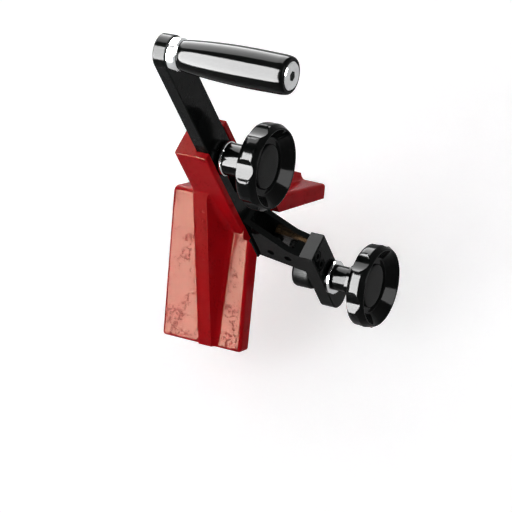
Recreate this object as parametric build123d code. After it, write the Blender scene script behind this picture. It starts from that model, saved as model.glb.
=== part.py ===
from build123d import *
import math
import os

os.makedirs("parts", exist_ok=True)

# Plastic pipe beveller, in millimetres.
# Origin: where the planes of the two V faces meet, at the middle of the saddle.
# +Z points away from the pipe, +X along the pipe towards its open end.

# Saddle casting
saddle_length = 53.5
wing_length = 80.0
wing_tip_thickness = 9.0
wing_root_thickness = 11.5
ridge_rounding = 4.0
casting_rounding = 2.2
apex_relief_radius = 1.6

# Tower on the ridge, with the guide groove for the bar
tower_rear = 1.0
tower_front = 22.0
tower_half_width = 14.0
tower_top = 74.0
groove_clearance = 0.1
head_notch_half_width = 16.0
throat_half_width = 12.2
throat_height = -7.5

# Gussets between the tower and the wing tips
gusset_top = 40.0
gusset_tip_height = 3.6
gusset_crest_width = 9.0
gusset_root_width = 15.0
gusset_tip_width = 10.5
gusset_foot_rounding = 3.5

# Crank bar
bar_width = 20.0
bar_thickness = 8.0
bar_rear = 13.5
bar_bottom = -27.5
bar_eye_height = 151.0
bar_travel_up = 26.0
bar_travel_down = 5.5
slot_width = 8.4
bar_front = bar_rear + bar_thickness

# Clamping studs and knobs
stud_diameter = 8.0
upper_stud_height = 57.0
washer_diameter = 20.0
washer_thickness = 3.2
knob_diameter = 50.0
knob_head_thickness = 12.0
knob_hub_diameter = 19.0
knob_dish_depth = 6.2
knob_flutes = 6
flute_radius = 14.0
flute_depth = 3.15
flute_lip = 1.9
upper_flute_angle = -43.0
lower_flute_angle = -60.5
upper_hub_length = 18.0
lower_hub_length = 8.0
insert_diameter = 13.0
cap_diameter = 26.0

# Revolving grip
grip_start = 27.3
grip_end = 94.0
grip_small_radius = 8.3
grip_large_radius = 11.1
collar_diameter = 18.4
spindle_head_diameter = 15.5
spindle_head_thickness = 3.0

# Blade holder and blade, for a bevel of 15 degrees
bevel_angle = 15.0
holder_width = 16.5
channel_width = 9.5
holder_front = 50.6
holder_front_top = -19.6
blade_length = 24.0
blade_height = 15.5
blade_thickness = 3.0
blade_edge_x = 37.0
blade_edge_z = -32.3

# End plate with its slot for the counter-roller
plate_thickness = 9.0
plate_width = 18.0
plate_top = -18.2
plate_bottom = -75.0
roller_height = -48.0
roller_travel_up = 2.0
roller_travel_down = 5.5
roller_diameter = 20.0
roller_length = 12.0
plate_front = holder_front + plate_thickness


def save(shape, name):
    """Write one piece as a STEP file."""
    export_step(shape, f"parts/{name}.step")


def x_plane(x, y=0.0, z=0.0):
    """Work plane across the X axis: its own X runs along Y, its own Y along Z."""
    return Plane(origin=(x, y, z), x_dir=(0, 1, 0), z_dir=(1, 0, 0))


def x_cylinder(radius, start, end, y=0.0, z=0.0):
    """Cylinder along X from start to end."""
    return extrude(x_plane(start, y, z) * Circle(radius), end - start, dir=(1, 0, 0))


def y_cylinder(radius, start, end, x, z):
    """Cylinder along Y from start to end."""
    base = Plane(origin=(x, start, z), x_dir=(1, 0, 0), z_dir=(0, 1, 0))
    return extrude(base * Circle(radius), end - start, dir=(0, 1, 0))


def box(x0, x1, y0, y1, z0, z1):
    """Box between two corners."""
    middle = Pos((x0 + x1) / 2, (y0 + y1) / 2, (z0 + z1) / 2)
    return middle * Box(x1 - x0, y1 - y0, z1 - z0)


def side_profile(points, y0, y1):
    """Prism with an outline given as (x, z) points, from y0 to y1."""
    outline = Polyline(*[(x, y0, z) for x, z in points], close=True)
    return extrude(make_face(outline), y1 - y0, dir=(0, 1, 0))


def x_revolve(points, z):
    """Solid of revolution about the X direction at height z, from (x, radius) points."""
    outline = Polyline(*[(x, 0, r) for x, r in points], close=True)
    return Pos(0, 0, z) * revolve(make_face(outline), Axis.X)


def slot_cutter(width, z_low, z_high, x0, x1):
    """Round-ended cutter along Z, from one end centre to the other."""
    base = Plane(origin=(x0, 0, (z_low + z_high) / 2), x_dir=(0, 0, 1), z_dir=(1, 0, 0))
    face = base * SlotCenterToCenter(z_high - z_low, width)
    return extrude(face, x1 - x0, dir=(1, 0, 0))


def washer(start, z):
    """Flat washer with broken edges."""
    inner = stud_diameter / 2 + 0.25
    outer = washer_diameter / 2
    end = start + washer_thickness
    return x_revolve(
        [
            (start, inner),
            (start, outer - 0.3),
            (start + 0.3, outer),
            (end - 0.3, outer),
            (end, outer - 0.3),
            (end, inner),
        ],
        z,
    )


# The saddle: a 90 degree V casting with a grooved tower and two gussets


def wing_section():
    """Section of the V across the pipe."""
    s = math.sqrt(0.5)
    tip = wing_length * s
    tip_out = wing_tip_thickness * s
    crest = wing_root_thickness / s
    right = [(tip, -tip), (tip + tip_out, -tip + tip_out)]
    left = [(-y, z) for y, z in reversed(right)]
    outline = Polyline((0, 0), *right, (0, crest), *left, close=True)
    return make_face(outline)


def gusset(side):
    """Drafted rib from the tower's flank to the tip of one wing."""
    s = math.sqrt(0.5)
    tip = wing_length * s
    rise = (wing_tip_thickness + gusset_tip_height) * s
    top_y = tower_half_width - 1.0
    tip_y = tip + rise - 0.7
    tip_z = -tip + rise + 0.7
    crest = Polyline(
        (tower_rear, side * top_y, gusset_top),
        (tower_rear + gusset_crest_width, side * top_y, gusset_top),
        (tower_rear + gusset_crest_width - 0.8, side * tip_y, tip_z),
        (tower_rear - 0.4, side * tip_y, tip_z),
        close=True,
    )
    depth = 4.0
    root_w = 2.0
    tip_w = wing_length - 0.8
    foot = Polyline(
        (tower_rear, side * (depth + root_w) * s, (depth - root_w) * s),
        (tower_rear + gusset_root_width, side * (depth + root_w) * s, (depth - root_w) * s),
        (tower_rear + gusset_tip_width, side * (depth + tip_w) * s, (depth - tip_w) * s),
        (tower_rear - 1.2, side * (depth + tip_w) * s, (depth - tip_w) * s),
        close=True,
    )
    return loft([make_face(crest), make_face(foot)], ruled=True)


wings = extrude(x_plane(-saddle_length / 2) * wing_section(), saddle_length, dir=(1, 0, 0))
ridge = wings.edges().filter_by(Axis.X).group_by(Axis.Z)[-1]
wings = fillet(ridge, ridge_rounding)
skirt = wings.edges().filter_by(lambda e: e.center().Z > -abs(e.center().Y) + 5.0)
wings = fillet(skirt, casting_rounding)

tower = box(tower_rear, tower_front, -tower_half_width, tower_half_width, 0, tower_top)
tower = fillet(tower.edges().filter_by(Axis.Z), 1.2)
tower = fillet(tower.faces().sort_by(Axis.Z)[-1].edges(), 0.8)

casting = wings + tower + gusset(1) + gusset(-1)


def edges_near(shape, x, y, z, reach=3.0):
    """Edges whose centre is close to a point or to its mirror image in Y."""
    return shape.edges().filter_by(
        lambda e: abs(e.center().X - x) < reach
        and abs(abs(e.center().Y) - y) < reach
        and abs(e.center().Z - z) < reach
    )


gusset_foot = edges_near(casting, 12.2, 37.7, -23.6) + edges_near(casting, 12.0, 14.0, 19.9)
casting = fillet(gusset_foot, gusset_foot_rounding)
apex_relief = x_cylinder(apex_relief_radius, -saddle_length, saddle_length)
groove_half = bar_width / 2 + groove_clearance
groove = box(bar_rear - groove_clearance, 40, -groove_half, groove_half, -40, 90)
head_notch = box(tower_front + 0.3, 40, -head_notch_half_width, head_notch_half_width, -40, 40)
stud_hole_start = tower_rear + 2.5
throat = box(bar_rear - groove_clearance, 40, -throat_half_width, throat_half_width, -40, throat_height)
upper_stud_hole = x_cylinder(stud_diameter / 2, stud_hole_start, 20, z=upper_stud_height)
saddle = casting - apex_relief - groove - head_notch - throat - upper_stud_hole
save(saddle, "saddle")

# The crank bar, which slides in the groove and carries everything else

bar = box(bar_rear, bar_front, -bar_width / 2, bar_width / 2, bar_bottom, bar_eye_height)
bar += x_cylinder(bar_width / 2, bar_rear, bar_front, z=bar_eye_height)
bar_sides = bar.edges().filter_by(lambda e: e.center().Z > 10 and e.length > 25)
bar = chamfer(bar_sides, 0.5)
slot_low = upper_stud_height - bar_travel_up - 0.2
slot_high = upper_stud_height + bar_travel_down + 0.2
bar -= slot_cutter(slot_width, slot_low, slot_high, 0, 40)
bar -= x_cylinder(stud_diameter / 2, 0, 40, z=bar_eye_height)
holder_screw_heights = (-7.5, -20.0)
screw_radius = 2.5
screw_head_radius = 4.6
screw_head_depth = 3.2
for height in holder_screw_heights:
    bar -= x_cylinder(screw_radius, 0, 40, z=height)
    bar -= x_cylinder(screw_head_radius, 0, bar_rear + screw_head_depth, z=height)
save(bar, "crank_bar")


def socket_screw(start, length, head_radius, head_length, shank_radius, y, z):
    """Socket screw along X: head first, at start, shank towards the other end of length."""
    way = 1 if length > 0 else -1
    head_end = start + way * head_length
    screw = x_cylinder(head_radius, min(start, head_end), max(start, head_end), y, z)
    screw = chamfer(screw.edges(), 0.3)
    tip = start + length
    screw += x_cylinder(shank_radius, min(start, tip), max(start, tip), y, z)
    size = shank_radius * 1.75
    socket = extrude(x_plane(start, y, z) * RegularPolygon(size / 2, 6), way * head_length * 0.6)
    return screw - socket


holder_screws = Compound(
    children=[
        socket_screw(bar_rear + 0.1, 12.4, screw_head_radius - 0.1, 3.1, screw_radius, 0, height)
        for height in holder_screw_heights
    ]
)
save(holder_screws, "holder_screws")

# The blade holder: two cheeks with a chip channel that is open above and below

slope = math.tan(math.radians(bevel_angle))
half = holder_width / 2
web_thickness = 5.0
blade_gap = 0.7


def bevel_line(x, lift=0.0):
    """Height of the cutting line at x, raised by lift."""
    return blade_edge_z - slope * (x - blade_edge_x) + lift


holder = side_profile(
    [
        (bar_front, 5.2),
        (43.0, -16.2),
        (holder_front, holder_front_top),
        (holder_front, bevel_line(holder_front, blade_gap)),
        (bar_front, bevel_line(bar_front, blade_gap)),
    ],
    -half,
    half,
)
upper_edges = holder.edges().filter_by(lambda e: abs(e.center().Y) > 8 and e.center().Z > -19)
holder = chamfer(upper_edges.filter_by(lambda e: e.length > 7 and e.center().X > bar_front + 1), 0.5)
channel_start = bar_front + web_thickness
channel_end = holder_front - web_thickness
channel = box(channel_start, channel_end, -channel_width / 2, channel_width / 2, -60, 20)
web_relief = box(bar_front + 1.6, channel_start + 1, -channel_width / 2, channel_width / 2, -2.5, 20)
blade_face = channel_width / 2
blade_pocket = box(channel_end - 1, 60, blade_face - blade_thickness, blade_face, -60, 20)
holder = holder - channel - web_relief - blade_pocket
for height in holder_screw_heights:
    holder -= x_cylinder(screw_radius, 0, channel_start - 0.5, z=height)
blade_screw_spots = [(30.5, -22.0), (41.0, -24.8)]
blade_screw_radius = 2.0
for x, z in blade_screw_spots:
    holder -= y_cylinder(blade_screw_radius, 0, 20, x, z)
    holder -= y_cylinder(2.2, -20, 0, x, z)
plate_screw_heights = (-22.6, -30.4)
plate_screw_y = -3.6
plate_screw_radius = 2.0
for height in plate_screw_heights:
    holder -= x_cylinder(plate_screw_radius, channel_end - 1, 60, plate_screw_y, height)
save(holder, "blade_holder")

# The blade stands on edge against the far cheek, its cutting edge along the bevel

blade_outline = Polyline(
    (-blade_length / 2, 0),
    (blade_length / 2, 0),
    (blade_length / 2, blade_height),
    (-blade_length / 2, blade_height),
    close=True,
)
blade_plane = Plane(
    origin=(blade_edge_x + 1.2, blade_face, bevel_line(blade_edge_x + 1.2)),
    x_dir=(math.cos(math.radians(bevel_angle)), 0, -math.sin(math.radians(bevel_angle))),
    z_dir=(0, -1, 0),
)
blade = extrude(blade_plane * make_face(blade_outline), blade_thickness - 0.02)
cutting_edge = blade.edges().filter_by(
    lambda e: e.length > 20 and e.center().Z < -30 and e.center().Y > blade_face - 0.5
)
blade = chamfer(cutting_edge, 2.4, 1.0)
blade -= box(holder_front - 0.2, 80, -20, 20, -60, 20)
for x, z in blade_screw_spots:
    blade -= y_cylinder(blade_screw_radius, 0, 20, x, z)
save(blade, "blade")

blade_screws = []
for x, z in blade_screw_spots:
    seat = blade_face - blade_thickness
    screw = y_cylinder(3.2, seat - 1.8, seat - 0.02, x, z)
    screw = fillet(screw.edges().sort_by(Axis.Y)[0], 0.8)
    screw += y_cylinder(blade_screw_radius, seat - 1.0, half, x, z)
    drive = Plane(origin=(x, seat - 1.8, z), x_dir=(1, 0, 0), z_dir=(0, 1, 0))
    screw -= extrude(drive * RegularPolygon(1.4, 6), 1.2)
    blade_screws.append(screw)
save(Compound(children=blade_screws), "blade_screws")

# The end plate stands across the pipe's mouth; its slot guides the counter-roller

plate_radius = plate_width / 2
plate = box(holder_front, plate_front, -plate_radius, plate_radius, plate_bottom + plate_radius, plate_top)
plate += x_cylinder(plate_radius, holder_front, plate_front, z=plate_bottom + plate_radius)
plate_edges = plate.edges().filter_by(lambda e: e.center().X > plate_front - 0.1)
plate = chamfer(plate_edges, 0.6)
roller_slot_low = roller_height - roller_travel_down - 0.2
roller_slot_high = roller_height + roller_travel_up + 0.2
plate -= slot_cutter(slot_width, roller_slot_low, roller_slot_high, 40, 80)
plate_head_radius = 3.3
plate_head_depth = 4.2
for height in plate_screw_heights:
    plate -= x_cylinder(plate_screw_radius, 40, 80, plate_screw_y, height)
    plate -= x_cylinder(plate_head_radius, plate_front - plate_head_depth, 80, plate_screw_y, height)
save(plate, "end_plate")

plate_screws = Compound(
    children=[
        socket_screw(plate_front - 0.2, -13.0, plate_head_radius - 0.1, 4.0, plate_screw_radius, plate_screw_y, h)
        for h in plate_screw_heights
    ]
)
save(plate_screws, "plate_screws")

# The lobed clamping knobs: turned body, round-ended flutes, dished face, threaded insert and cap


def circles(shape, x, radius):
    """Circular edges of a turned shape at x with this radius."""
    return shape.edges().filter_by(GeomType.CIRCLE).filter_by(
        lambda e: abs(e.radius - radius) < 0.01 and abs(e.arc_center.X - x) < 0.01
    )


def lobed_knob(start, hub_length, z, first_flute):
    """Knob body with its hub towards -X, starting at start; first_flute is one flute's angle."""
    hub = knob_hub_diameter / 2
    radius = knob_diameter / 2
    back = start + hub_length
    front = back + knob_head_thickness
    floor = front - knob_dish_depth
    seat = cap_diameter / 2 + 0.05
    body = x_revolve(
        [
            (start, 0),
            (start, hub - 0.4),
            (start + 0.4, hub),
            (back, hub),
            (back, radius),
            (front, radius),
            (front, radius - 2.4),
            (floor + 1.0, seat + 2.2),
            (floor, seat),
            (floor, 0),
        ],
        0,
    )
    body = fillet(circles(body, back, hub), 1.2)
    body = fillet(circles(body, back, radius), 5.0)
    body = fillet(circles(body, front, radius), 1.6)
    body = fillet(circles(body, front, radius - 2.4), 0.6)
    orbit = radius + flute_radius - flute_depth
    flute = x_cylinder(flute_radius, back - 5, front - flute_lip, z=orbit)
    flute = fillet(flute.edges().sort_by(Axis.X)[-1], 5.0)
    for i in range(knob_flutes):
        body -= Rot(-first_flute - 360 / knob_flutes * i, 0, 0) * flute
    flute_edges = body.edges().filter_by(
        lambda e: back + 0.3 < e.center().X < front - 1.0
        and math.hypot(e.center().Y, e.center().Z) > radius - 5
    )
    body = fillet(flute_edges, 0.5)
    body -= x_cylinder(insert_diameter / 2, start - 1, floor - 1.6)
    return Pos(0, 0, z) * body


def knob_insert(start, hub_length, z):
    """Threaded bush moulded into a knob."""
    end = start + hub_length + knob_head_thickness - knob_dish_depth - 1.6
    bush = x_cylinder(insert_diameter / 2, start, end, z=z)
    return bush - x_cylinder(stud_diameter / 2 + 0.06, start - 1, end - 2.0, z=z)


def knob_cap(start, hub_length, z):
    """Disc that closes the bottom of the knob's dish."""
    base = start + hub_length + knob_head_thickness - knob_dish_depth
    radius = cap_diameter / 2
    return x_revolve(
        [
            (base, 0),
            (base, radius),
            (base + 0.9, radius),
            (base + 1.3, radius - 0.6),
            (base + 1.5, 0),
        ],
        z,
    )


washer_gap = 0.06
upper_washer_start = bar_front + washer_gap
upper_knob_start = upper_washer_start + washer_thickness + 0.04
save(washer(upper_washer_start, upper_stud_height), "upper_washer")
upper_knob = lobed_knob(upper_knob_start, upper_hub_length, upper_stud_height, upper_flute_angle)
save(upper_knob, "upper_knob")
save(knob_insert(upper_knob_start, upper_hub_length, upper_stud_height), "upper_knob_insert")
save(knob_cap(upper_knob_start, upper_hub_length, upper_stud_height), "upper_knob_cap")


def stud(start, end, z):
    """Plain stud with chamfered ends."""
    r = stud_diameter / 2
    return x_revolve([(start, 0), (start, r - 0.8), (start + 0.8, r), (end - 0.8, r), (end, r - 0.8), (end, 0)], z)


upper_stud = stud(stud_hole_start, upper_knob_start + upper_hub_length + 1.0, upper_stud_height)
save(upper_stud, "upper_stud")

# Counter-roller: it presses on the pipe's inner face, and its bolt is clamped in the slot

bolt_flange_end = holder_front - 0.06
bolt_flange_start = bolt_flange_end - 0.9
roller_end = bolt_flange_start - 0.15
roller_start = roller_end - roller_length
ring_start = roller_start - 1.15
bolt_start = ring_start - 1.2
lower_washer_start = plate_front + washer_gap
sleeve_start = lower_washer_start + washer_thickness + 0.02
sleeve_end = sleeve_start + 9.6
lower_knob_start = sleeve_end + 0.04
bolt_end = lower_knob_start + lower_hub_length + 1.5
bolt_radius = stud_diameter / 2
roller_bolt = x_revolve(
    [
        (bolt_start, 0),
        (bolt_start, bolt_radius - 0.5),
        (bolt_start + 0.5, bolt_radius),
        (ring_start - 0.02, bolt_radius),
        (ring_start - 0.02, bolt_radius - 0.5),
        (ring_start + 1.02, bolt_radius - 0.5),
        (ring_start + 1.02, bolt_radius),
        (bolt_flange_start, bolt_radius),
        (bolt_flange_start, 7.0),
        (bolt_flange_end, 7.0),
        (bolt_flange_end, bolt_radius),
        (bolt_end - 0.8, bolt_radius),
        (bolt_end, bolt_radius - 0.8),
        (bolt_end, 0),
    ],
    roller_height,
)
save(roller_bolt, "roller_bolt")

roller_radius = roller_diameter / 2
roller = x_revolve(
    [
        (roller_start, bolt_radius + 0.06),
        (roller_start, roller_radius - 1.2),
        (roller_start + 0.5, roller_radius - 0.4),
        (roller_start + 1.6, roller_radius),
        (roller_end - 1.6, roller_radius),
        (roller_end - 0.5, roller_radius - 0.4),
        (roller_end, roller_radius - 1.2),
        (roller_end, bolt_radius + 0.06),
    ],
    roller_height,
)
save(roller, "counter_roller")

ring = x_revolve(
    [
        (ring_start, bolt_radius - 0.5),
        (ring_start, bolt_radius + 2.4),
        (ring_start + 1.0, bolt_radius + 2.4),
        (ring_start + 1.0, bolt_radius - 0.5),
    ],
    roller_height,
)
ring -= box(ring_start - 1, ring_start + 2, -1.4, 1.4, roller_height - 10, roller_height - 2)
save(ring, "retaining_ring")

save(washer(lower_washer_start, roller_height), "lower_washer")
sleeve = x_revolve(
    [
        (sleeve_start, bolt_radius + 0.2),
        (sleeve_start, 7.1),
        (sleeve_start + 0.4, 7.5),
        (sleeve_end - 0.4, 7.5),
        (sleeve_end, 7.1),
        (sleeve_end, bolt_radius + 0.2),
    ],
    roller_height,
)
save(sleeve, "lower_sleeve")
lower_knob = lobed_knob(lower_knob_start, lower_hub_length, roller_height, lower_flute_angle)
save(lower_knob, "lower_knob")
save(knob_insert(lower_knob_start, lower_hub_length, roller_height), "lower_knob_insert")
save(knob_cap(lower_knob_start, lower_hub_length, roller_height), "lower_knob_cap")

# The revolving grip, its collar and the spindle screwed into the bar's eye

collar = x_revolve(
    [
        (bar_front + 0.02, stud_diameter / 2 + 0.1),
        (bar_front + 0.02, collar_diameter / 2 - 0.5),
        (bar_front + 0.5, collar_diameter / 2),
        (grip_start - 1.3, collar_diameter / 2),
        (grip_start - 0.3, collar_diameter / 2 - 1.0),
        (grip_start - 0.3, stud_diameter / 2 + 0.1),
    ],
    bar_eye_height,
)
save(collar, "grip_collar")

spindle_head_start = grip_end - spindle_head_thickness
head_radius = spindle_head_diameter / 2
spindle = x_revolve(
    [
        (bar_rear + 0.3, 0),
        (bar_rear + 0.3, stud_diameter / 2 - 0.6),
        (bar_rear + 0.9, stud_diameter / 2),
        (spindle_head_start, stud_diameter / 2),
        (spindle_head_start, head_radius),
        (grip_end - 0.5, head_radius),
        (grip_end, head_radius - 0.5),
        (grip_end, 0),
    ],
    bar_eye_height,
)
hex_socket = extrude(x_plane(grip_end, 0, bar_eye_height) * RegularPolygon(2.9, 6), -5.0, dir=(1, 0, 0))
spindle -= hex_socket
save(spindle, "grip_spindle")

grip_face = grip_end - 0.6
grip_outline = Plane.XZ * Spline(
    (grip_start + 1.6, grip_small_radius + 0.5),
    (grip_start + 14.0, grip_small_radius + 1.75),
    (grip_start + 30.0, grip_large_radius - 0.25),
    (grip_start + 46.0, grip_large_radius),
    (grip_face - 3.0, grip_large_radius - 0.45),
)
bore = stud_diameter / 2 + 0.08
recess = head_radius + 0.3
grip_section = grip_outline + Polyline(
    grip_outline @ 1,
    (grip_face - 1.0, 0, grip_large_radius - 1.2),
    (grip_face, 0, grip_large_radius - 2.6),
    (grip_face, 0, recess),
    (spindle_head_start - 0.3, 0, recess),
    (spindle_head_start - 0.3, 0, bore),
    (grip_start, 0, bore),
    (grip_start, 0, grip_small_radius - 0.8),
    (grip_start + 0.5, 0, grip_small_radius + 0.1),
    grip_outline @ 0,
)
grip = Pos(0, 0, bar_eye_height) * revolve(make_face(grip_section), Axis.X)
save(grip, "grip")
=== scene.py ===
import math

import bmesh
import bpy
from bpy.props import FloatProperty, FloatVectorProperty, IntProperty, PointerProperty
from mathutils import Matrix, Vector


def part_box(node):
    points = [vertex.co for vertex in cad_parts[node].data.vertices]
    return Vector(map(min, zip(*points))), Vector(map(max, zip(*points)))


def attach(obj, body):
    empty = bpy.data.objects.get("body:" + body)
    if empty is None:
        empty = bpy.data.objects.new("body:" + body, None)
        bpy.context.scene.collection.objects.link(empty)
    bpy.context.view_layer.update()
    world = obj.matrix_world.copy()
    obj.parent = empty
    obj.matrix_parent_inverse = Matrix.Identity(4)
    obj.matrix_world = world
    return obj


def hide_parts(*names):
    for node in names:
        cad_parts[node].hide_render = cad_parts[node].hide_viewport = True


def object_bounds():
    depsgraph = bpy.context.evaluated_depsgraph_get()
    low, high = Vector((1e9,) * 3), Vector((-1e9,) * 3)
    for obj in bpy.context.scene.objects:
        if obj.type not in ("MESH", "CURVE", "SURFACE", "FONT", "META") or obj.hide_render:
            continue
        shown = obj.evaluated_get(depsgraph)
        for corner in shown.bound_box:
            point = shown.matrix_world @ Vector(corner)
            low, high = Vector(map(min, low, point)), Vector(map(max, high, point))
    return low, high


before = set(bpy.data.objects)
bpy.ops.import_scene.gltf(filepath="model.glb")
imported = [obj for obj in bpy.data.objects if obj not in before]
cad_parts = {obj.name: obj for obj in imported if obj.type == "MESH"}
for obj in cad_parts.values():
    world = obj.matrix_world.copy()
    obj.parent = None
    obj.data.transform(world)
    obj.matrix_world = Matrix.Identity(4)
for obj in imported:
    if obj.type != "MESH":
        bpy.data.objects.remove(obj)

bl_info = {
    "name": "Pipe beveller finishes",
    "version": (1, 0, 0),
    "blender": (4, 5, 0),
    "location": "View3D > Sidebar > Beveller",
    "description": "Dresses the pipe beveller with its knobs, grip, finishes and studio",
    "category": "Object",
}

MM = 0.001
TURN = 2 * math.pi
CAD_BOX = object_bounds()

# Solids' own sizes that the pieces and finishes follow
BLADE_TILT = math.radians(15)
# Width of a washer's rim at its end along X that stays bright; the rest of its side is painted near-black as
# shade
UNSHADED_RIM = 1.5 * MM
GRIP_BORE = 4.08 * MM
GRIP_RECESS_DEPTH = 2.6 * MM
GRIP_RECESS_PLAY = 0.3 * MM
CAP_CHAMFER = 0.5 * MM

# Swell of the grip: shares of its length, how its radius grows and falls, its lips and smoothing
GRIP_PLACES = (0.03, 0.1, 0.18, 0.26, 0.34, 0.42, 0.5, 0.58, 0.66, 0.74, 0.82, 0.9, 0.945)
GRIP_BELLY_AT = 0.66
GRIP_SWELL_POWER = 2.1
GRIP_TAPER_FROM = 0.7
GRIP_TAPER = 0.35 * MM
GRIP_SLIM_LIP = 0.2 * MM
GRIP_OUTER_LIP = 0.9 * MM
GRIP_SMOOTHING = 2.2 * MM

# Crown of the knobs' caps: its edge's depth and width, then shares of the radius for its flat middle
CAP_CROWN = 0.15 * MM
CAP_CROWN_EDGE = 0.7 * MM
CAP_FLAT = 0.6
CAP_INNER_ROW = 0.2

# Heights between which the pits in the casting's skin thin out, up from the wings' tips
PITS_DENSE_TO = -65 * MM
PITS_THIN_FROM = -30 * MM

# Distances from the blade's lower and upper edge over which its finishes change
GROUND_FROM = 2.2 * MM
GROUND_TO = 2.8 * MM
RUBBED_FROM = 0.5 * MM
RUBBED_TO = 0.1 * MM

# Fine rings on turned metal; a wave texture's rings are that far apart at a scale of RING_SCALE
RING_SPACING = 0.35 * MM
RING_SCALE = 0.314
# Near-black colour that paints shade over most of a washer's side
PAINTED_SHADE = (0.001, 0.001, 0.001)

# Stage: the floor's depth leaves room for the lower knob's travel
FLOOR_BELOW = 11.5 * MM
FLOOR_REACH = 4.0
FLOOR_LIFT = 0.5
LAMP_SIDE = -0.4565
KEY_AROUND = math.radians(-46)
KEY_SIZE = (0.9, 1.7)
BACK_AROUND = math.radians(56)
BACK_SIZE = (0.9, 1.5)
FRONT_SIDE = 0.854
FRONT_AROUND = 0.0
FRONT_SIZE = (0.5, 0.85)
LENS = 189.84
CAMERA_PLACE = (0.74165, -0.70065, 1.19895)
CAMERA_RIGHT = (0.86724, 0.41308, -0.27797)
CAMERA_UP = (-0.1988, 0.79914, 0.56732)


def middle_of(node):
    """Centre of a CAD node's box."""
    low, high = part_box(node)
    return (low + high) / 2


def breadth_of(node):
    """Size of a CAD node's box along Z."""
    low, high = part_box(node)
    return high.z - low.z


# Settings that a user would change


def length(name, description, value):
    """Setting for a length in metres."""
    return FloatProperty(
        name=name, description=description, default=value, subtype="DISTANCE", unit="LENGTH"
    )


def colour(name, description, value):
    """Setting for a linear colour."""
    return FloatVectorProperty(
        name=name, description=description, default=value, size=3, min=0, max=1, subtype="COLOR"
    )


def angle(name, description, degrees):
    """Setting for an angle, given in degrees."""
    radians = math.radians(degrees)
    return FloatProperty(
        name=name, description=description, default=radians, subtype="ANGLE", unit="ROTATION"
    )


def share(name, description, value, highest=1.0):
    """Setting for a share or a strength."""
    return FloatProperty(
        name=name, description=description, default=value, min=0, max=highest, subtype="FACTOR"
    )


class KnobSizes(bpy.types.PropertyGroup):
    """Sizes of the lobed clamping knobs."""

    head_diameter: length("Head diameter", "Across the lobes", 50.0 * MM)
    upper_head: length("Upper head thickness", "From the back of the head to its rim", 13.5 * MM)
    lower_head: length("Lower head thickness", "From the back of the head to its rim", 12.0 * MM)
    dish_depth: length("Dish depth", "Depth of the dish in the front face", 6.2 * MM)
    hub_diameter: length("Hub diameter", "Across the round hub", 19.0 * MM)
    flute_radius: length("Flute radius", "Radius of one finger flute", 12.0 * MM)
    flute_depth: length("Flute depth", "How far a flute cuts into the head", 2.8 * MM)
    flute_end: length("Flute end", "What is left of the head in front of a flute", 1.5 * MM)
    flute_end_radius: length("Flute end radius", "Radius of a flute's round end", 8.5 * MM)
    flute_run_out: length("Flute run-out", "Length over which a flute ends", 1.1 * MM)
    edge_rounding: length("Edge rounding", "Rounding along the edges of a flute", 0.5 * MM)
    flutes: IntProperty(name="Flutes", description="Number of finger flutes", default=6, min=3, max=12)
    upper_turn: angle("Upper turn", "How far the upper knob is turned", -13.0)
    lower_turn: angle("Lower turn", "How far the lower knob is turned", -30.5)


class GripSizes(bpy.types.PropertyGroup):
    """Sizes of the revolving grip."""

    collar_end: length("Collar end diameter", "Across the slim end", 17.0 * MM)
    belly: length("Belly diameter", "Across the thickest part", 22.1 * MM)
    rounding: length("End rounding", "Rounding of the outer end", 2.6 * MM)


class Finishes(bpy.types.PropertyGroup):
    """Colours and grain of the finishes."""

    enamel: colour("Enamel", "Red enamel of the casting", (0.42, 0.004, 0.008))
    enamel_deep: colour("Deep enamel", "Where the enamel has run thick", (0.33, 0.003, 0.006))
    bar_black: colour("Bar black", "Enamel of the bar, holder and end plate", (0.0035, 0.0042, 0.004))
    moulding: colour("Moulding", "Polished black of the grip and knobs", (0.002, 0.0024, 0.0023))
    plating: colour("Plating", "Bright plated rings and washers", (0.5, 0.505, 0.51))
    zinc: colour("Zinc", "Zinc plated screws and bolts", (0.56, 0.57, 0.58))
    blade: colour("Blade edge", "Ground cutting edge", (0.3, 0.29, 0.27))
    # The blade's sides are painted near-black, standing in for shade in the holder's channel
    blade_shade: colour("Blade", "Hardened steel of the blade's sides", (0.003, 0.0027, 0.0025))
    blade_rubbed: colour("Blade top", "Rubbed upper edge of the blade", (0.02, 0.012, 0.006))
    brass: colour("Brass", "Threaded inserts", (0.66, 0.44, 0.16))
    pebble: length("Pebble size", "Spacing of the pits in the cast skin under the enamel", 1.7 * MM)
    pebble_depth: length("Pebble depth", "Depth of those pits", 0.15 * MM)


class Studio(bpy.types.PropertyGroup):
    """Floor, lamps and surroundings."""

    key: share("Key light", "Light from the large softbox, 1 is plain", 0.45, 4)
    back: share("Back light", "Light from the softbox behind", 0.2, 4)
    sheen: share("Key sheen", "Brightness of the large softbox in glossy surfaces", 245.0, 400)
    back_sheen: share("Back sheen", "Brightness of the rear softbox in glossy surfaces", 32.0, 400)
    front_sheen: share("Front sheen", "Brightness of the front softbox in glossy surfaces", 28.0, 400)
    around: share("Surroundings", "Plain light from all sides", 0.42, 4)
    floor: colour("Floor", "Colour of the plain floor", (0.8, 0.8, 0.8))
    distance: length("Lamp distance", "From the object to each softbox", 1.3)


# Node helpers


def add_node(tree, kind, sockets=None, **settings):
    """Add one node; sockets maps an input's name or number to a value or to an output."""
    node = tree.nodes.new(kind)
    for name, value in settings.items():
        setattr(node, name, value)
    for name, value in (sockets or {}).items():
        socket = node.inputs[name]
        if isinstance(value, bpy.types.NodeSocket):
            tree.links.new(value, socket)
        else:
            socket.default_value = value
    return node


def calculate(tree, operation, *values):
    """One Math node on values or outputs."""
    return add_node(tree, "ShaderNodeMath", dict(enumerate(values)), operation=operation).outputs[0]


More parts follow.
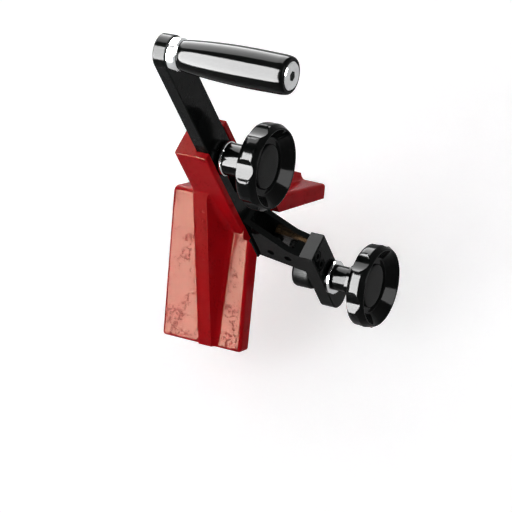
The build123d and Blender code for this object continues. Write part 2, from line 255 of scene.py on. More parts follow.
def start_finish(name):
    """A new material with a Principled shader; gives material, tree, shader and place."""
    material = bpy.data.materials.new(name)
    material.use_nodes = True
    tree = material.node_tree
    tree.nodes.clear()
    shader = add_node(tree, "ShaderNodeBsdfPrincipled")
    add_node(tree, "ShaderNodeOutputMaterial", {"Surface": shader.outputs[0]})
    place = add_node(tree, "ShaderNodeTexCoord").outputs["Object"]
    return material, tree, shader, place


def noise(tree, place, grain, detail=3.0, roughness=0.5, distortion=0.0):
    """Noise whose features are about grain metres wide."""
    sockets = {"Vector": place, "Scale": 1 / grain, "Detail": detail}
    sockets |= {"Roughness": roughness, "Distortion": distortion}
    return add_node(tree, "ShaderNodeTexNoise", sockets).outputs["Fac"]


def span(tree, value, low, high, to_low, to_high):
    """Map a value from one span to another, clamped."""
    sockets = {"Value": value, "From Min": low, "From Max": high, "To Min": to_low, "To Max": to_high}
    return add_node(tree, "ShaderNodeMapRange", sockets).outputs["Result"]


def blend_colours(tree, amount, first, second):
    """Mix two colours by amount."""
    node = add_node(tree, "ShaderNodeMix", data_type="RGBA")
    tree.links.new(amount, node.inputs["Factor"])
    for name, value in (("A", first), ("B", second)):
        socket = next(s for s in node.inputs if s.name == name and s.type == "RGBA")
        if isinstance(value, bpy.types.NodeSocket):
            tree.links.new(value, socket)
        else:
            socket.default_value = (*value, 1)
    return next(s for s in node.outputs if s.type == "RGBA")


def bump(tree, height, depth, strength=1.0, normal=None):
    """Bump whose full height is depth metres."""
    sockets = {"Height": height, "Distance": depth, "Strength": strength}
    if normal is not None:
        sockets["Normal"] = normal
    return add_node(tree, "ShaderNodeBump", sockets).outputs[0]


def set_sockets(tree, shader, **values):
    """Set or link sockets of the shader, named in lower case with underscores."""
    names = {s.name.lower().replace(" ", "_"): s for s in shader.inputs}
    for name, value in values.items():
        socket = names[name]
        if isinstance(value, bpy.types.NodeSocket):
            tree.links.new(value, socket)
        elif socket.type == "RGBA":
            socket.default_value = (*value, 1)
        else:
            socket.default_value = value


# Finishes


def cast_enamel(finishes):
    """Glossy red enamel over the skin of a sand casting, with small pits left open."""
    material, tree, shader, place = start_finish("cast_enamel")
    grain = finishes.pebble
    parts = add_node(tree, "ShaderNodeSeparateXYZ", {0: place}).outputs
    near_tips = span(tree, parts[2], PITS_DENSE_TO, PITS_THIN_FROM, 0.16, 0)
    drift = calculate(tree, "ADD", noise(tree, place, grain * 8, 2.0, 0.5, 0.5), near_tips)
    sparse = span(tree, drift, 0.48, 0.56, 0, 1)
    upright = add_node(tree, "ShaderNodeMapping", {"Vector": place, "Scale": (1, 1, 0.65)}).outputs[0]
    specks = span(tree, noise(tree, upright, grain * 0.95, 1.0, 0.6, 0.3), 0.57, 0.61, 0, 1)
    pits = calculate(tree, "MULTIPLY", specks, sparse)
    fine = noise(tree, place, grain * 0.5, 2.0)
    waves = noise(tree, place, grain * 7, 1.0)
    skin = calculate(tree, "SUBTRACT", calculate(tree, "MULTIPLY", fine, 0.2), pits)
    patches = noise(tree, place, grain * 9, 2.0, 0.5, 0.3)
    tint = calculate(tree, "MULTIPLY", span(tree, patches, 0.35, 0.7, 0, 1), 0.5)
    tint = calculate(tree, "MAXIMUM", tint, pits)
    under = bump(tree, waves, finishes.pebble_depth * 3, 0.6)
    set_sockets(
        tree,
        shader,
        base_color=blend_colours(tree, tint, finishes.enamel, finishes.enamel_deep),
        roughness=span(tree, fine, 0.3, 0.7, 0.1, 0.16),
        specular_ior_level=span(tree, pits, 0, 1, 0.5, 0.03),
        normal=bump(tree, skin, finishes.pebble_depth, 1.0, under),
        ior=1.07,
        specular_tint=(1.0, 0.86, 0.62),
    )
    return material


def bar_enamel(finishes, name="bar_enamel", roughness=0.11):
    """Gloss black enamel with a slight orange-peel skin."""
    material, tree, shader, place = start_finish(name)
    peel = noise(tree, place, 1.6 * MM, 2.0)
    waves = noise(tree, place, 14 * MM, 2.0)
    dust = noise(tree, place, 0.5 * MM, 4.0, 0.7)
    tint = calculate(tree, "MULTIPLY", span(tree, waves, 0.35, 0.7, 0, 1), 0.6)
    lighter = tuple(c * 1.9 for c in finishes.bar_black)
    set_sockets(
        tree,
        shader,
        base_color=blend_colours(tree, tint, finishes.bar_black, lighter),
        roughness=span(tree, dust, 0.3, 0.7, roughness * 0.8, roughness * 1.4),
        normal=bump(tree, peel, 0.05 * MM, 0.6, bump(tree, waves, 0.25 * MM, 0.35)),
        ior=1.0925,
    )
    return material


def polished_moulding(finishes):
    """Black thermoset moulding with a high polish and faint rubbing marks."""
    material, tree, shader, place = start_finish("polished_moulding")
    waves = noise(tree, place, 11 * MM, 1.0)
    haze = noise(tree, place, 4 * MM, 3.0)
    rubbed = add_node(tree, "ShaderNodeMapping", {"Vector": place, "Scale": (0.25, 1, 1)}).outputs[0]
    marks = noise(tree, rubbed, 0.35 * MM, 3.0, 0.7)
    lighter = tuple(c * 2.0 for c in finishes.moulding)
    polish = span(tree, haze, 0.3, 0.7, 0.06, 0.12)
    rough = calculate(tree, "MULTIPLY_ADD", span(tree, marks, 0.55, 0.8, 0, 1), 0.08, polish)
    set_sockets(
        tree,
        shader,
        base_color=blend_colours(tree, haze, finishes.moulding, lighter),
        roughness=rough,
        normal=bump(tree, waves, 0.08 * MM, 0.5),
        ior=1.1055,
    )
    return material


def turned_metal(name, tone, height, roughness, shade_until=None):
    """Metal turned about an axis along X at that height, with fine rings.

    Where X is below the given end it is painted near-black, as shade.
    """
    material, tree, shader, place = start_finish(name)
    centred = add_node(tree, "ShaderNodeMapping", {"Vector": place, "Location": (0, 0, -height)}).outputs[0]
    sockets = {"Vector": centred, "Scale": RING_SCALE / RING_SPACING}
    sockets |= {"Distortion": 0.6, "Detail": 2.0, "Detail Scale": 2.0}
    wave = add_node(tree, "ShaderNodeTexWave", sockets, wave_type="RINGS", rings_direction="X")
    rings = wave.outputs["Fac"]
    cloud = noise(tree, place, 3 * MM, 3.0)
    spots = noise(tree, place, 0.6 * MM, 3.0, 0.6)
    darker = tuple(c * 0.8 for c in tone)
    shade = blend_colours(tree, span(tree, cloud, 0.35, 0.75, 0, 0.7), tone, darker)
    if shade_until is not None:
        parts = add_node(tree, "ShaderNodeSeparateXYZ", {0: place}).outputs
        shaded = span(tree, parts[0], shade_until, shade_until + 0.1 * MM, 1, 0)
        shade = blend_colours(tree, shaded, shade, PAINTED_SHADE)
    set_sockets(
        tree,
        shader,
        base_color=shade,
        metallic=1.0,
        roughness=span(tree, spots, 0.3, 0.7, roughness * 0.8, roughness * 1.3),
        normal=bump(tree, rings, 0.02 * MM, 0.35),
    )
    return material


def zinc_plate(finishes):
    """Dull bright zinc on screws."""
    material, tree, shader, place = start_finish("zinc_plate")
    cloud = noise(tree, place, 1.8 * MM, 4.0, 0.6)
    grain = noise(tree, place, 0.3 * MM, 3.0)
    darker = tuple(c * 0.72 for c in finishes.zinc)
    set_sockets(
        tree,
        shader,
        base_color=blend_colours(tree, span(tree, cloud, 0.35, 0.7, 0, 1), finishes.zinc, darker),
        metallic=1.0,
        roughness=span(tree, cloud, 0.3, 0.7, 0.24, 0.36),
        normal=bump(tree, grain, 0.02 * MM, 0.4),
    )
    return material


def ground_blade(finishes):
    """Tool steel painted near-black as shade in the holder's channel, with a bright ground cutting edge and
    a rubbed, brownish top edge.
    """
    material, tree, shader, place = start_finish("ground_blade")
    low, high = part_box("blade")
    parts = add_node(tree, "ShaderNodeSeparateXYZ", {0: place}).outputs
    cosine = math.cos(BLADE_TILT)
    sine = math.sin(BLADE_TILT)
    edge = low.z * cosine + high.x * sine
    top = high.z * cosine + low.x * sine
    height = calculate(tree, "MULTIPLY", parts[2], cosine)
    height = calculate(tree, "MULTIPLY_ADD", parts[0], sine, height)
    sockets = {"Vector": place, "Rotation": (0, -BLADE_TILT, 0), "Scale": (0.04, 1, 1)}
    along = add_node(tree, "ShaderNodeMapping", sockets).outputs[0]
    lines = noise(tree, along, 0.25 * MM, 3.0, 0.65)
    cloud = noise(tree, place, 4 * MM, 3.0)
    ground = span(tree, height, edge + GROUND_FROM, edge + GROUND_TO, 1.0, 0.0)
    rubbed = span(tree, height, top - RUBBED_FROM, top - RUBBED_TO, 0.0, 1.0)
    rubbed = calculate(tree, "MULTIPLY", rubbed, span(tree, cloud, 0.3, 0.6, 0.3, 1.0))
    # Near-black painted shade on the blade's sides, brownish towards the rubbed top edge
    steel = blend_colours(tree, rubbed, finishes.blade_shade, finishes.blade_rubbed)
    set_sockets(
        tree,
        shader,
        base_color=blend_colours(tree, ground, steel, finishes.blade),
        metallic=1.0,
        roughness=span(tree, lines, 0.3, 0.7, 0.2, 0.38),
        normal=bump(tree, lines, 0.03 * MM, 0.6),
    )
    return material


def painted_shade_end(node):
    """Where the painted shade on a washer ends and its bright rim starts."""
    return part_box(node)[1].x - UNSHADED_RIM


def on_knob(level, tone, roughness, washer=False):
    """Maker of a turned metal about the axis of the upper or the lower knob; on a washer, all but its rim is
    painted near-black as shade.
    """

    def make(finishes):
        name = level + "_" + tone
        height = middle_of(level + "_knob").z
        shade_until = painted_shade_end(level + "_washer") if washer else None
        return turned_metal(name, getattr(finishes, tone), height, roughness, shade_until)

    return make


FINISH_MAKERS = {
    "cast_enamel": cast_enamel,
    "bar_enamel": bar_enamel,
    "dull_black": lambda f: bar_enamel(f, "dull_black", 0.34),
    "polished_moulding": polished_moulding,
    # The washers' plating is painted near-black as shade, all but a rim
    "upper_plating": on_knob("upper", "plating", 0.1, washer=True),
    "lower_plating": on_knob("lower", "plating", 0.1, washer=True),
    "upper_zinc": on_knob("upper", "zinc", 0.24),
    "lower_zinc": on_knob("lower", "zinc", 0.24),
    "upper_brass": on_knob("upper", "brass", 0.2),
    "lower_brass": on_knob("lower", "brass", 0.2),
    "grip_plating": lambda f: turned_metal("grip_plating", f.plating, middle_of("grip").z, 0.12),
    "zinc_plate": zinc_plate,
    "ground_blade": ground_blade,
}


def finish(name):
    """The named material, made when it is first asked for."""
    found = bpy.data.materials.get(name)
    return found or FINISH_MAKERS[name](bpy.context.scene.beveller_finishes)


def dress(node, name):
    """Give one CAD node its finish."""
    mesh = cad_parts[node].data
    mesh.materials.clear()
    mesh.materials.append(finish(name))


# Mesh helpers


def tidy_mesh(mesh, crease=math.radians(38)):
    """Merge doubles, point faces outwards, shade smooth and keep the real edges crisp."""
    work = bmesh.new()
    work.from_mesh(mesh)
    bmesh.ops.remove_doubles(work, verts=work.verts, dist=1e-6)
    bmesh.ops.dissolve_degenerate(work, edges=work.edges, dist=1e-7)
    bmesh.ops.recalc_face_normals(work, faces=work.faces)
    for face in work.faces:
        face.smooth = True
    for edge in work.edges:
        edge.smooth = not (len(edge.link_faces) == 2 and edge.calc_face_angle() > crease)
    work.to_mesh(mesh)
    work.free()


def show(name, mesh, material, body, node):
    """Put a finished mesh in the scene in place of a CAD node."""
    piece = bpy.data.objects.new(name, mesh)
    bpy.context.scene.collection.objects.link(piece)
    mesh.materials.clear()
    mesh.materials.append(finish(material))
    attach(piece, body)
    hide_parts(node)
    return piece


def bend(start, corner, end, t):
    """Point at share t of the short curve that rounds a corner."""
    return start * (1 - t) ** 2 + corner * 2 * t * (1 - t) + end * t**2


def rounded_outline(corners, steps=6):
    """Outline through corners given as (position, rounding), each a short curve instead of a point."""
    points = []
    for i, (corner, rounding) in enumerate(corners):
        here = Vector(corner)
        if rounding <= 0 or i in (0, len(corners) - 1):
            points.append(here)
            continue
        before = Vector(corners[i - 1][0])
        after = Vector(corners[i + 1][0])
        start = here + (before - here).normalized() * min(rounding, (before - here).length * 0.49)
        end = here + (after - here).normalized() * min(rounding, (after - here).length * 0.49)
        points += [bend(start, here, end, step / steps) for step in range(steps + 1)]
    return points


def turned_mesh(name, outline, height, sides=96):
    """Solid turned about the X direction at that height, from an outline of (x, radius) points."""
    work = bmesh.new()
    rows = []
    for point in outline:
        if point[1] < 1e-7:
            rows.append([work.verts.new((point[0], 0, height))])
        else:
            row = []
            for i in range(sides):
                y = point[1] * math.sin(TURN * i / sides)
                z = height + point[1] * math.cos(TURN * i / sides)
                row.append(work.verts.new((point[0], y, z)))
            rows.append(row)
    for first, second in zip(rows, rows[1:] + rows[:1]):
        for i in range(sides):
            face = [first[i % len(first)], first[(i + 1) % len(first)]]
            face += [second[(i + 1) % len(second)], second[i % len(second)]]
            face = list(dict.fromkeys(face))
            if len(face) > 2:
                work.faces.new(face)
    mesh = bpy.data.meshes.new(name)
    work.to_mesh(mesh)
    work.free()
    tidy_mesh(mesh)
    return mesh


# Lobed knob, made by Geometry Nodes from its sizes

KNOB_INPUTS = (
    "Start",
    "Height",
    "Hub length",
    "Hub radius",
    "Head thickness",
    "Head radius",
    "Dish depth",
    "Flute radius",
    "Flute depth",
    "Flute end",
    "Flute end radius",
    "Flute run-out",
    "Edge rounding",
    "Turn",
)
KNOB_CELLS = 256
KNOB_COLUMNS = 360
ROUNDING_CLOSENESS = 1.5

# Rise of a flute's floor over its run-out, as a share of the flute's depth
FLUTE_RISE = 1.3

# Half section of the knob, from the bottom of the insert's bore to the middle of the dish.
# Each corner: shares of hub length, head thickness, dish depth, hub radius and head radius,
# then its rounding in millimetres and how closely rows follow each other after it.
# The usual knob has those five sizes in millimetres.
KNOB_CORNERS = (
    ((0, 1, -1.15, 0, 0), 0, 0.4),
    ((0, 1, -1.15, 0.684, 0), 0, 0.4),
    ((-1, 0, 0, 0.684, 0), 0, 1),
    ((-1, 0, 0, 1, 0), 0.4, 0.7),
    ((0, 0, 0, 1, 0), 1.2, 1),
    ((0, 0, 0, 0, 1), 5.0, 3),
    ((0, 1, -0.52, 0, 1), 0.7, 3),
    ((0, 1, 0, 0, 0.92), 0.35, 1.5),
    ((0, 1, 0, 0, 0.888), 0.3, 1.2),
    ((0, 1, -1, 0, 0.668), 0.6, 1),
    ((0, 1, -1, 0, 0), 0, 0.5),
)
USUAL_KNOB = (16.5, 13.5, 6.2, 9.5, 25.0)


def run(first, second):
    """Distance in millimetres between two points of the section on a knob of usual size."""
    parts = [(b - a) * usual for a, b, usual in zip(first, second, USUAL_KNOB)]
    return math.hypot(sum(parts[:3]), sum(parts[3:]))


def knob_profile():
    """The section with its corners rounded, each point with its cell of the grid."""
    points = []
    for i, (corner, rounding, closeness) in enumerate(KNOB_CORNERS):
        here = Vector(corner)
        if rounding == 0:
            points.append((here, closeness))
            continue
        before = Vector(KNOB_CORNERS[i - 1][0])
        after = Vector(KNOB_CORNERS[i + 1][0])
        start = here + (before - here) * min(0.49, rounding / run(here, before))
        end = here + (after - here) * min(0.49, rounding / run(here, after))
        steps = 4 if rounding < 1 else 9
        for step in range(steps + 1):
            points.append((bend(start, here, end, step / steps), max(closeness, ROUNDING_CLOSENESS)))
        points[-1] = (end, closeness)
    lengths = [run(a[0], b[0]) * a[1] for a, b in zip(points, points[1:])]
    spare = KNOB_CELLS - len(lengths)
    total = sum(lengths)
    cells = [0]
    gone = 0
    for i, one in enumerate(lengths):
        gone += one
        cells.append(i + 1 + round(spare * gone / total))
    return [(cell / KNOB_CELLS, point) for cell, (point, _) in zip(cells, points)]


def profile_curve(tree, place, profile, share_index):
    """Float Curve that reads one share of the profile at a place from 0 to 1."""
    node = add_node(tree, "ShaderNodeFloatCurve", {"Value": place})
    mapping = node.mapping
    mapping.use_clip = False
    curve = mapping.curves[0]
    while len(curve.points) < len(profile):
        curve.points.new(0.5, 0.5)
    for point, (where, shares) in zip(curve.points, profile):
        point.location = (where, shares[share_index])
    for point in curve.points:
        point.handle_type = "VECTOR"
    mapping.update()
    return node.outputs[0]


def lobed_knob_tree(material):
    """Tree for a turned head with round-ended flutes.

    A grid is wrapped round the axis by the section, then pushed in at each flute.
    """
    tree = bpy.data.node_groups.new("lobed_knob", "GeometryNodeTree")
    tree.interface.new_socket("Geometry", in_out="INPUT", socket_type="NodeSocketGeometry")
    for name in KNOB_INPUTS:
        tree.interface.new_socket(name, in_out="INPUT", socket_type="NodeSocketFloat")
    tree.interface.new_socket("Flutes", in_out="INPUT", socket_type="NodeSocketInt")
    tree.interface.new_socket("Geometry", in_out="OUTPUT", socket_type="NodeSocketGeometry")
    size = add_node(tree, "NodeGroupInput").outputs

    def calc(operation, *values):
        return calculate(tree, operation, *values)

    sockets = {"Size X": 1.0, "Size Y": 1.0, "Vertices X": KNOB_CELLS + 1, "Vertices Y": KNOB_COLUMNS + 1}
    grid = add_node(tree, "GeometryNodeMeshGrid", sockets).outputs["Mesh"]
    position = add_node(tree, "GeometryNodeInputPosition").outputs[0]
    parts = add_node(tree, "ShaderNodeSeparateXYZ", {0: position}).outputs
    along = calc("ADD", parts[0], 0.5)
    bearing = calc("MULTIPLY", calc("ADD", parts[1], 0.5), TURN)
    profile = knob_profile()
    shares = [profile_curve(tree, along, profile, i) for i in range(len(USUAL_KNOB))]
    hub_share, head_share, dish_share, hub_round, head_round = shares
    head_back = calc("ADD", size["Start"], size["Hub length"])
    x = calc("MULTIPLY_ADD", hub_share, size["Hub length"], head_back)
    x = calc("MULTIPLY_ADD", head_share, size["Head thickness"], x)
    x = calc("MULTIPLY_ADD", dish_share, size["Dish depth"], x)
    radius = calc("MULTIPLY", hub_round, size["Hub radius"])
    radius = calc("MULTIPLY_ADD", head_round, size["Head radius"], radius)

    # Angle to the middle of the nearest flute
    count = size["Flutes"]
    turns = calc("DIVIDE", calc("MULTIPLY", bearing, count), TURN)
    offset = calc("SUBTRACT", calc("FRACT", turns), 0.5)
    offset = calc("DIVIDE", calc("MULTIPLY", offset, TURN), count)

    # How far the flute has risen towards its round end, from 0 to 1
    orbit = calc("ADD", size["Head radius"], calc("SUBTRACT", size["Flute radius"], size["Flute depth"]))
    aside = calc("MULTIPLY", orbit, calc("SINE", offset))
    sideways = calc("POWER", calc("MULTIPLY", size["Head radius"], calc("SINE", offset)), 2.0)
    left = calc("SUBTRACT", calc("POWER", size["Flute end radius"], 2.0), sideways)
    drawn_back = calc("SUBTRACT", size["Flute end radius"], calc("SQRT", calc("MAXIMUM", left, 0.0)))
    head_front = calc("ADD", head_back, size["Head thickness"])
    before_end = calc("SUBTRACT", calc("SUBTRACT", head_front, size["Flute end"]), drawn_back)
    gone = calc("DIVIDE", calc("SUBTRACT", x, before_end), size["Flute run-out"])
    gone = calc("MINIMUM", calc("MAXIMUM", calc("ADD", gone, 1.0), 0.0), 1.0)
    risen = calc("SUBTRACT", 1.0, calc("SQRT", calc("SUBTRACT", 1.0, calc("POWER", gone, 2.0))))

    # The flute's wall seen from the axis, and the head cut back to it
    full_rise = calc("MULTIPLY", size["Flute depth"], FLUTE_RISE)
    reach = calc("SUBTRACT", size["Flute radius"], calc("MULTIPLY", risen, full_rise))
    inside = calc("SUBTRACT", calc("POWER", reach, 2.0), calc("POWER", aside, 2.0))
    ahead = calc("MULTIPLY", orbit, calc("COSINE", offset))
    wall = calc("SUBTRACT", ahead, calc("SQRT", calc("MAXIMUM", inside, 0.0)))
    radius = calc("SMOOTH_MIN", radius, wall, size["Edge rounding"])
    facing = calc("ADD", bearing, size["Turn"])
    y = calc("MULTIPLY", radius, calc("SINE", facing))
    z = calc("MULTIPLY_ADD", radius, calc("COSINE", facing), size["Height"])
    place = add_node(tree, "ShaderNodeCombineXYZ", {0: x, 1: y, 2: z}).outputs[0]
    shaped = add_node(tree, "GeometryNodeSetPosition", {"Geometry": grid, "Position": place}).outputs[0]
    closed = add_node(tree, "GeometryNodeMergeByDistance", {"Geometry": shaped, "Distance": 1e-6}).outputs[0]
    realized = add_node(tree, "GeometryNodeRealizeInstances", {"Geometry": closed}).outputs[0]
    sockets = {"Geometry": realized, "Material": material}
    painted = add_node(tree, "GeometryNodeSetMaterial", sockets).outputs[0]
    add_node(tree, "NodeGroupOutput", {"Geometry": painted})
    return tree


def grown_mesh(name, tree, values):
    """Run a Geometry Nodes tree once with these named values and keep its mesh."""
    seed = bpy.data.objects.new(name + "_seed", bpy.data.meshes.new(name + "_seed"))
    bpy.context.scene.collection.objects.link(seed)
    modifier = seed.modifiers.new("grow", "NODES")
    modifier.node_group = tree
    for item in tree.interface.items_tree:
        if item.in_out == "INPUT" and item.name in values:
            modifier[item.identifier] = values[item.name]
    bpy.context.view_layer.update()
    shown = seed.evaluated_get(bpy.context.evaluated_depsgraph_get())
    mesh = bpy.data.meshes.new_from_object(shown)
    mesh.name = name
    seed.modifiers.clear()
    bpy.data.objects.remove(seed)
    if not mesh.polygons:
        raise RuntimeError(f"the tree made no faces for {name}")
    tidy_mesh(mesh)
    return mesh


# Operators


class BEVELLER_OT_dress_saddle(bpy.types.Operator):
    """Red enamel on the cast saddle, zinc on its stud"""

    bl_idname = "beveller.dress_saddle"
    bl_label = "Dress saddle"

    def execute(self, context):
        dress("saddle", "cast_enamel")
        dress("upper_stud", "upper_zinc")
        return {"FINISHED"}


class BEVELLER_OT_dress_bar(bpy.types.Operator):
    """Black enamel on the crank bar, blade holder, end plate and sleeve, dull on the roller"""

    bl_idname = "beveller.dress_bar"
    bl_label = "Dress bar and holder"

    def execute(self, context):
        for node in ("crank_bar", "blade_holder", "end_plate", "lower_sleeve"):
            dress(node, "bar_enamel")
        dress("counter_roller", "dull_black")
        return {"FINISHED"}


class BEVELLER_OT_dress_blade(bpy.types.Operator):
    """Ground steel on the blade"""

    bl_idname = "beveller.dress_blade"
    bl_label = "Dress blade"

    def execute(self, context):
        dress("blade", "ground_blade")
        return {"FINISHED"}


class BEVELLER_OT_dress_fittings(bpy.types.Operator):
    """Plated, turned and dull black finishes on washers, collar, spindle, bolt, ring, inserts and screws;
    the washers are painted near-black as shade apart from a rim
    """

    bl_idname = "beveller.dress_fittings"
    bl_label = "Dress fittings"

    def execute(self, context):
        finishes = {
            "upper_washer": "upper_plating",
            "lower_washer": "lower_plating",
            "grip_collar": "grip_plating",
            "grip_spindle": "grip_plating",
            "roller_bolt": "lower_zinc",
            "retaining_ring": "zinc_plate",
            "holder_screws": "dull_black",
            "blade_screws": "dull_black",
            "plate_screws": "dull_black",
            "upper_knob_insert": "upper_brass",
            "lower_knob_insert": "lower_brass",
        }
        for node, name in finishes.items():
            dress(node, name)
        return {"FINISHED"}


def add_cap(level):
    """Disc in the dish of the upper or lower knob, slightly domed."""
    name = level + "_turned_cap"
    low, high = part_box(level + "_knob_cap")
    radius = (high.z - low.z) / 2
    outline = [
        ((low.x, 0), 0),
        ((low.x, radius), 0),
        ((high.x - CAP_CHAMFER, radius), 0.3 * MM),
        ((high.x - CAP_CROWN, radius - CAP_CROWN_EDGE), 1.5 * MM),
        ((high.x, radius * CAP_FLAT), 3 * MM),
        ((high.x, radius * CAP_INNER_ROW), 0),
        ((high.x, 0), 0),
    ]
    mesh = turned_mesh(name, rounded_outline(outline), (low.z + high.z) / 2)
    show(name, mesh, "polished_moulding", level + "_knob", level + "_knob_cap")


class BEVELLER_OT_add_knobs(bpy.types.Operator):
    """Lobed clamping knobs, grown from their sizes, with the caps in their dishes"""

    bl_idname = "beveller.add_knobs"
    bl_label = "Add clamping knobs and caps"

    def execute(self, context):
        sizes = context.scene.beveller_knobs
        tree = lobed_knob_tree(finish("polished_moulding"))
        for level, head, turn in (
            ("upper", sizes.upper_head, sizes.upper_turn),
            ("lower", sizes.lower_head, sizes.lower_turn),
        ):
            node = level + "_knob"
            low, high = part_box(node)
            values = {
                "Start": low.x,
                "Height": middle_of(level + "_knob_cap").z,
                "Hub length": high.x - low.x - head,
                "Hub radius": sizes.hub_diameter / 2,
                "Head thickness": head,
                "Dish depth": sizes.dish_depth,
                "Head radius": sizes.head_diameter / 2,
                "Flute radius": sizes.flute_radius,
                "Flute depth": sizes.flute_depth,
                "Flute end": sizes.flute_end,
                "Flute end radius": sizes.flute_end_radius,
                "Flute run-out": sizes.flute_run_out,
                "Edge rounding": sizes.edge_rounding,
                "Turn": turn,
                "Flutes": sizes.flutes,
            }
            mesh = grown_mesh(level + "_lobed_knob", tree, values)
            show(level + "_lobed_knob", mesh, "polished_moulding", node, node)
            add_cap(level)
        return {"FINISHED"}


class BEVELLER_OT_add_grip(bpy.types.Operator):
    """Swelling black grip, turned from its outline"""

    bl_idname = "beveller.add_grip"
    bl_label = "Add grip"

    def execute(self, context):
        sizes = context.scene.beveller_grip
        low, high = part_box("grip")
        height = middle_of("grip_spindle").z
        recess = breadth_of("grip_spindle") / 2 + GRIP_RECESS_PLAY
        recess_floor = high.x - GRIP_RECESS_DEPTH
        belly = sizes.belly / 2
        slim = sizes.collar_end / 2
        corners = [((low.x, GRIP_BORE), 0), ((low.x, slim - GRIP_SLIM_LIP), 0.8 * MM)]
        for t in GRIP_PLACES:
            grown = 1 - (1 - min(1, t / GRIP_BELLY_AT)) ** GRIP_SWELL_POWER
            fallen = GRIP_TAPER * max(0, t - GRIP_TAPER_FROM) / (1 - GRIP_TAPER_FROM)
            place = (low.x + (high.x - low.x) * t, slim + (belly - slim) * grown - fallen)
            corners.append((place, GRIP_SMOOTHING))
        corners += [
            ((high.x, belly - GRIP_OUTER_LIP), sizes.rounding),
            ((high.x, recess), 0.35 * MM),
            ((recess_floor, recess), 0.2 * MM),
            ((recess_floor, GRIP_BORE), 0),
        ]
        mesh = turned_mesh("turned_grip", rounded_outline(corners), height)
        show("turned_grip", mesh, "polished_moulding", "grip", "grip")
        return {"FINISHED"}


class BEVELLER_OT_add_studio(bpy.types.Operator):
    """Pale floor, soft lamps, white surroundings and the camera"""

    bl_idname = "beveller.add_studio"
    bl_label = "Add studio"

    def execute(self, context):
        studio = context.scene.beveller_studio
        add_floor(studio)
        add_lamps(studio)
        add_surroundings(studio)
        add_camera()
        context.scene.view_settings.view_transform = "Standard"
        return {"FINISHED"}


OPERATORS = (
    BEVELLER_OT_dress_saddle,
    BEVELLER_OT_dress_bar,
    BEVELLER_OT_dress_blade,
    BEVELLER_OT_dress_fittings,
    BEVELLER_OT_add_knobs,
    BEVELLER_OT_add_grip,
    BEVELLER_OT_add_studio,
)


# Studio


def seen_directly(tree):
    """1 for camera, glossy and transmission rays, 0 for the rest."""
    rays = add_node(tree, "ShaderNodeLightPath").outputs
    seen = calculate(tree, "MAXIMUM", rays["Is Camera Ray"], rays["Is Glossy Ray"])
    return calculate(tree, "MAXIMUM", seen, rays["Is Transmission Ray"])


def add_floor(studio):
    """Plain floor under the lowest reach of the lower knob, lifted to white where it is seen."""
    level = CAD_BOX[0].z - FLOOR_BELOW
    work = bmesh.new()
    for x, y in ((-1, -1), (1, -1), (1, 1), (-1, 1)):
        work.verts.new((x * FLOOR_REACH, y * FLOOR_REACH, level))
    work.faces.new(work.verts)
    mesh = bpy.data.meshes.new("studio_floor")
    work.to_mesh(mesh)
    work.free()
    floor = bpy.data.objects.new("studio_floor", mesh)
    bpy.context.scene.collection.objects.link(floor)
    material = bpy.data.materials.new("plain_floor")
    material.use_nodes = True
    tree = material.node_tree
    tree.nodes.clear()
    matt = add_node(tree, "ShaderNodeBsdfDiffuse", {"Color": (*studio.floor, 1)}).outputs[0]
    lift = calculate(tree, "MULTIPLY", seen_directly(tree), FLOOR_LIFT)
    glow = add_node(tree, "ShaderNodeEmission", {"Strength": lift}).outputs[0]
    both = add_node(tree, "ShaderNodeAddShader", {0: matt, 1: glow}).outputs[0]
    add_node(tree, "ShaderNodeOutputMaterial", {"Surface": both})
    mesh.materials.append(material)


def add_softbox(name, side, around, wide, high, radiance, for_gloss):
    """Area lamp that faces the object.

    side is how far it stands along X, as a share of its distance; around is its angle round
    the X axis from straight above.
    """
    lamp = bpy.data.lights.new(name, "AREA")
    lamp.shape = "RECTANGLE"
    lamp.size = wide
    lamp.size_y = high
    lamp.energy = radiance * math.pi * wide * high
    lamp.cycles.use_multiple_importance_sampling = for_gloss
    box = bpy.data.objects.new(name, lamp)
    bpy.context.scene.collection.objects.link(box)
    across = math.sqrt(1 - side**2)
    back = Vector((side, across * math.sin(around), across * math.cos(around)))
    upwards = back.cross(Vector((1, 0, 0))).normalized()
    turn = Matrix((upwards.cross(back), upwards, back)).transposed()
    centre = (CAD_BOX[0] + CAD_BOX[1]) / 2
    distance = bpy.context.scene.beveller_studio.distance
    box.matrix_world = Matrix.Translation(centre + back * distance) @ turn.to_4x4()
    box.visible_glossy = for_gloss
    box.visible_diffuse = not for_gloss
    box.visible_camera = False


def add_lamps(studio):
    """Two softboxes, each a pair of one for matt surfaces and one for glossy ones, and a front sheen."""
    for name, around, size, light, sheen in (
        ("key", KEY_AROUND, KEY_SIZE, studio.key, studio.sheen),
        ("back", BACK_AROUND, BACK_SIZE, studio.back, studio.back_sheen),
    ):
        solid_angle = size[0] * size[1] / studio.distance**2
        radiance = light * math.pi / solid_angle
        add_softbox(name + "_softbox", LAMP_SIDE, around, *size, radiance, False)
        add_softbox(name + "_sheen", LAMP_SIDE, around, *size, sheen, True)
    add_softbox("front_sheen", FRONT_SIDE, FRONT_AROUND, *FRONT_SIZE, studio.front_sheen, True)


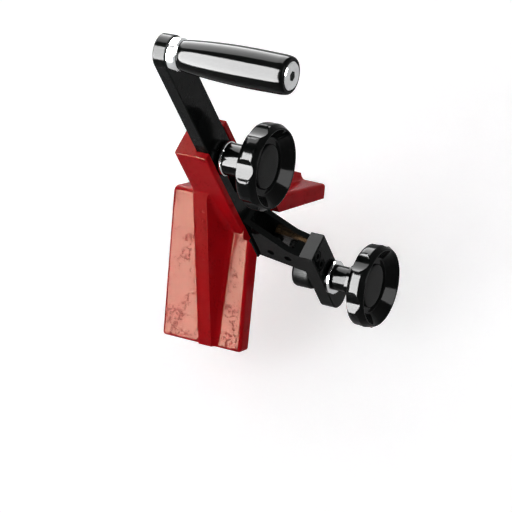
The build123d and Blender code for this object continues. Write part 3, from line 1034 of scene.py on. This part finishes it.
def add_surroundings(studio):
    """White where it is seen or mirrored, and a plain soft light everywhere else."""
    world = bpy.data.worlds.new("white_room")
    bpy.context.scene.world = world
    world.use_nodes = True
    tree = world.node_tree
    tree.nodes.clear()
    sockets = {"Value": seen_directly(tree), "To Min": studio.around, "To Max": 1.0}
    strength = add_node(tree, "ShaderNodeMapRange", sockets).outputs["Result"]
    room = add_node(tree, "ShaderNodeBackground", {"Color": (1, 1, 1, 1), "Strength": strength})
    add_node(tree, "ShaderNodeOutputWorld", {"Surface": room.outputs[0]})


def add_camera():
    """Camera that sees the object from the photograph's angle."""
    lens = bpy.data.cameras.new("camera")
    lens.sensor_width = 36
    lens.lens = LENS
    lens.clip_start = 0.05
    lens.clip_end = 20
    camera = bpy.data.objects.new("camera", lens)
    bpy.context.scene.collection.objects.link(camera)
    right = Vector(CAMERA_RIGHT)
    up = Vector(CAMERA_UP)
    turn = Matrix((right, up, right.cross(up))).transposed()
    camera.matrix_world = Matrix.Translation(CAMERA_PLACE) @ turn.to_4x4()
    bpy.context.scene.camera = camera


# Sidebar


class BEVELLER_PT_sidebar(bpy.types.Panel):
    """Lists the steps that dress the beveller"""

    bl_idname = "BEVELLER_PT_sidebar"
    bl_label = "Pipe beveller"
    bl_space_type = "VIEW_3D"
    bl_region_type = "UI"
    bl_category = "Beveller"

    def draw(self, context):
        for step in OPERATORS:
            self.layout.operator(step.bl_idname)
        for group in SETTINGS:
            settings = getattr(context.scene, group)
            column = self.layout.column(align=True)
            for name in type(settings).__annotations__:
                column.prop(settings, name)


SETTINGS = {
    "beveller_knobs": KnobSizes,
    "beveller_grip": GripSizes,
    "beveller_finishes": Finishes,
    "beveller_studio": Studio,
}


def register():
    for kind in (*SETTINGS.values(), *OPERATORS, BEVELLER_PT_sidebar):
        bpy.utils.register_class(kind)
    for name, kind in SETTINGS.items():
        setattr(bpy.types.Scene, name, PointerProperty(type=kind))


def unregister():
    for name in SETTINGS:
        delattr(bpy.types.Scene, name)
    for kind in reversed((*SETTINGS.values(), *OPERATORS, BEVELLER_PT_sidebar)):
        bpy.utils.unregister_class(kind)


def main():
    register()
    for step in OPERATORS:
        group, name = step.bl_idname.split(".")
        getattr(getattr(bpy.ops, group), name)()


if __name__ == "__main__":
    main()
